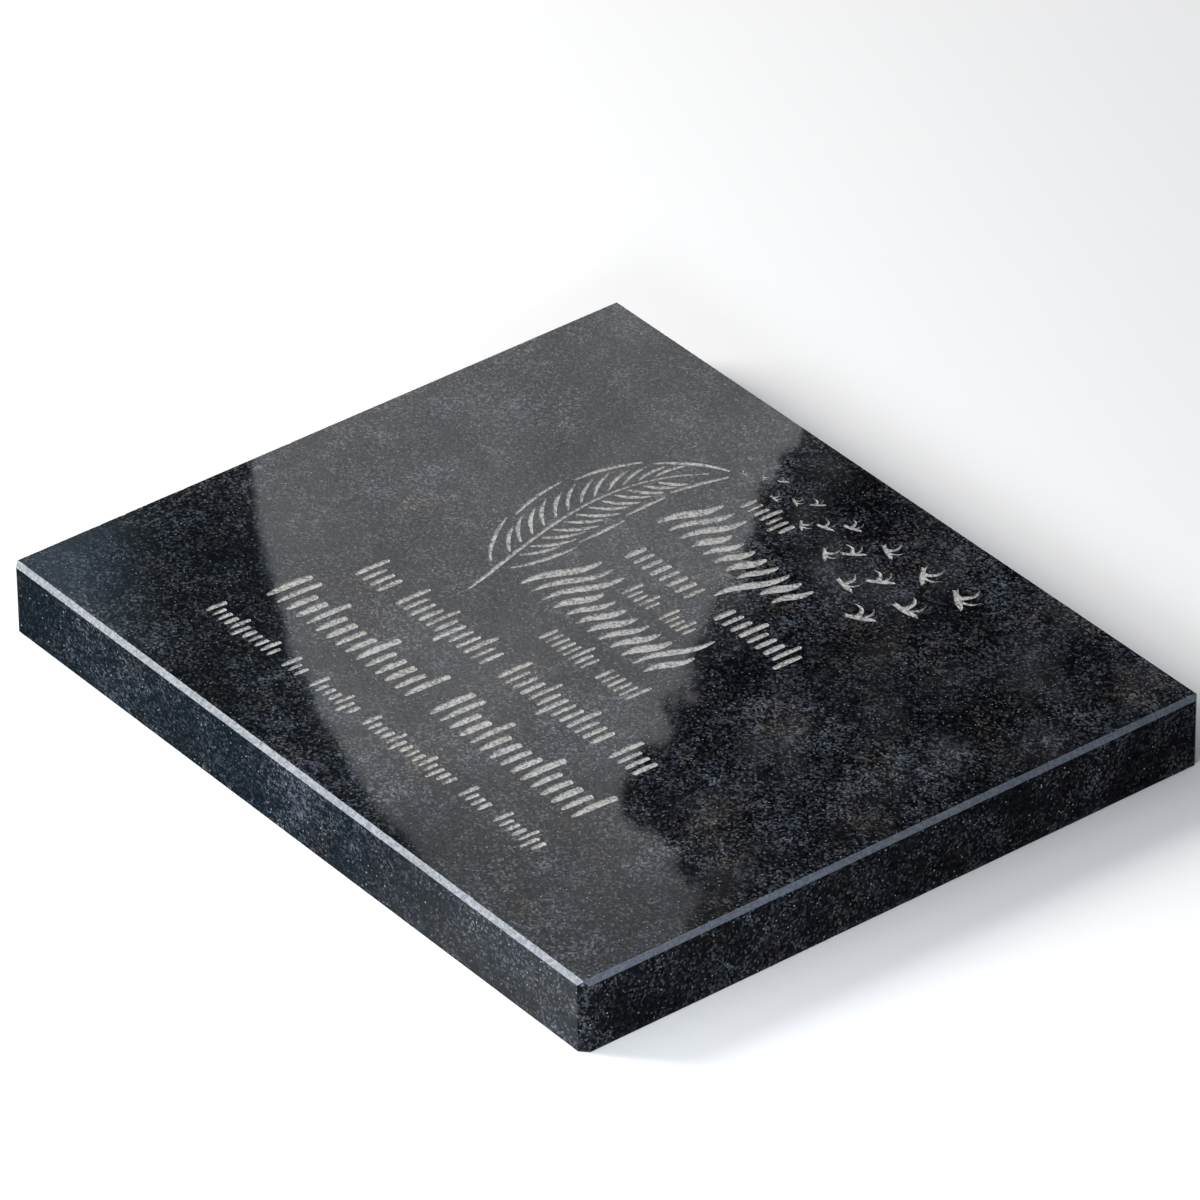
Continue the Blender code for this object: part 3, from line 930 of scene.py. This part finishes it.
def splitRim(bm):
    # gives the four top edges the points that the nicks move
    rim = [edge for edge in bm.edges if all(vert.co.z > high.z - tiny for vert in edge.verts)]
    for edge in rim:
        share = stone["cornerMargin"] / edge.calc_length()
        other, _ = bmesh.utils.edge_split(edge, edge.verts[0], share)
        longer = max(edge, other, key=lambda part: part.calc_length())
        corner = next(vert for vert in longer.verts if len(vert.link_edges) > 2)
        spare, _ = bmesh.utils.edge_split(longer, corner, stone["cornerMargin"] / longer.calc_length())
        inner = max(longer, spare, key=lambda part: part.calc_length())
        cuts = round(inner.calc_length() / stone["nickStep"]) - 1
        bmesh.ops.subdivide_edges(bm, edges=[inner], cuts=cuts)


def cutCorner(bm, xSign, ySign):
    inner = Vector((xSign * (size.x / 2 - stone["cornerFlat"]), ySign * size.y / 2, 0))
    cut = bmesh.ops.bisect_plane(bm, geom=bm.verts[:] + bm.edges[:] + bm.faces[:], plane_co=inner,
                                 plane_no=(xSign, ySign, 0), clear_outer=True)
    rim = [item for item in cut["geom_cut"] if isinstance(item, bmesh.types.BMEdge)]
    bmesh.ops.edgeloop_fill(bm, edges=rim)


def nickEdges(bm):
    # Points on the upper edge of the band move across the face, and those on its lower edge move down
    # the side, so that the face and the sides stay flat.
    dice = random.Random(stone["seed"])
    lowerEdge = high.z - stone["bevel"]
    innerX, innerY = size.x / 2 - stone["bevel"], size.y / 2 - stone["bevel"]
    outerX, outerY = size.x / 2 - stone["cornerMargin"], size.y / 2 - stone["cornerMargin"]
    places = sorted(bm.verts, key=lambda vert: (round(vert.co.z, 5), math.atan2(vert.co.y, vert.co.x)))
    chip = 0.0
    for vert in places:
        wobble = noise.noise(vert.co * stone["nickScale"])
        chip *= stone["chipFade"]
        if dice.random() < stone["chipShare"]:
            chip = stone["chipDepth"] * dice.uniform(stone["chipLeast"], 1.0)
        bite = stone["nickDepth"] * wobble + chip
        onFrontOrBack = abs(vert.co.x) < outerX + tiny
        onSide = abs(vert.co.y) < outerY + tiny
        if vert.co.z > high.z - tiny:
            if onFrontOrBack and abs(abs(vert.co.y) - innerY) < tiny:
                vert.co.y -= math.copysign(bite, vert.co.y)
            elif onSide and abs(abs(vert.co.x) - innerX) < tiny:
                vert.co.x -= math.copysign(bite, vert.co.x)
        elif abs(vert.co.z - lowerEdge) < tiny and (onFrontOrBack or onSide):
            vert.co.z -= bite * stone["nickDown"]


def makeSlab():
    bm = bmesh.new()
    bmesh.ops.create_cube(bm, size=1)
    bmesh.ops.scale(bm, vec=size, verts=bm.verts)
    bmesh.ops.translate(bm, vec=(low + high) / 2, verts=bm.verts)
    splitRim(bm)
    rim = [edge for edge in bm.edges if all(vert.co.z > high.z - tiny for vert in edge.verts)]
    bmesh.ops.bevel(bm, geom=rim, offset=stone["bevel"], offset_type="OFFSET", segments=1,
                    profile=0.5, affect="EDGES", material=-1)
    for xSign in (1, -1):
        for ySign in (1, -1):
            cutCorner(bm, xSign, ySign)
    nickEdges(bm)
    bmesh.ops.recalc_face_normals(bm, faces=bm.faces)
    mesh = bpy.data.meshes.new("granite_stone")
    bm.to_mesh(mesh)
    bm.free()
    return mesh


def makeCutter(outlines):
    curve = bpy.data.curves.new("engraving", "CURVE")
    curve.dimensions = "2D"
    curve.fill_mode = "BOTH"
    curve.extrude = (stone["carveDepth"] + stone["cutterRise"]) / 2
    for outline in outlines:
        spline = curve.splines.new("POLY")
        spline.points.add(len(outline) - 1)
        for point, place in zip(spline.points, outline):
            point.co = (place.x, place.y, 0, 1)
        spline.use_cyclic_u = True
    flat = bpy.data.objects.new("engraving", curve)
    bpy.context.scene.collection.objects.link(flat)
    bpy.context.view_layer.update()
    graph = bpy.context.evaluated_depsgraph_get()
    mesh = bpy.data.meshes.new_from_object(flat.evaluated_get(graph))
    bpy.data.objects.remove(flat, do_unlink=True)
    bm = bmesh.new()
    bm.from_mesh(mesh)
    middle = high.z + (stone["cutterRise"] - stone["carveDepth"]) / 2
    bmesh.ops.translate(bm, vec=(0, 0, middle), verts=bm.verts)
    bmesh.ops.remove_doubles(bm, verts=bm.verts, dist=1e-6)
    bmesh.ops.recalc_face_normals(bm, faces=bm.faces)
    bm.to_mesh(mesh)
    bm.free()
    cutter = bpy.data.objects.new("engraving", mesh)
    bpy.context.scene.collection.objects.link(cutter)
    return cutter


def assignFinishes(mesh):
    # sawn below, etched in the engraving, honed on the slopes and polished elsewhere
    names = list(finishes)
    for name in names:
        mesh.materials.append(finishes[name])
    margin = stone["bevel"] * stone["rimShare"]
    level, steep = 0.9, 0.3   # heights of a unit normal that part level faces, slopes and upright ones
    for face in mesh.polygons:
        centre, normal = face.center, face.normal
        overFace = abs(centre.x) < size.x / 2 - margin and abs(centre.y) < size.y / 2 - margin
        if normal.z < -level:
            finish = "sawn"
        elif overFace and low.z + tiny < centre.z < high.z - tiny:
            finish = "etched"
        elif steep < normal.z < level:
            finish = "honed"
        else:
            finish = "polished"
        face.material_index = names.index(finish)


def makeStone():
    obj = bpy.data.objects.new("granite_stone", makeSlab())
    bpy.context.scene.collection.objects.link(obj)
    cutter = makeCutter(allOutlines())
    cut = obj.modifiers.new("engraving", "BOOLEAN")
    cut.operation = "DIFFERENCE"
    cut.solver = "EXACT"
    cut.object = cutter
    bpy.context.view_layer.update()
    graph = bpy.context.evaluated_depsgraph_get()
    plain = obj.data
    carved = bpy.data.meshes.new_from_object(obj.evaluated_get(graph))
    obj.modifiers.clear()
    obj.data = carved
    bpy.data.meshes.remove(plain)
    bpy.data.objects.remove(cutter, do_unlink=True)
    carved.name = "granite_stone"
    carved.materials.clear()
    assignFinishes(carved)
    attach(obj, "root")
    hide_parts("memorial_stone")
    return obj


graniteStone = makeStone()
print("stone made:", len(graniteStone.data.polygons), "faces")

bpy.context.scene.view_settings.view_transform = "Standard"
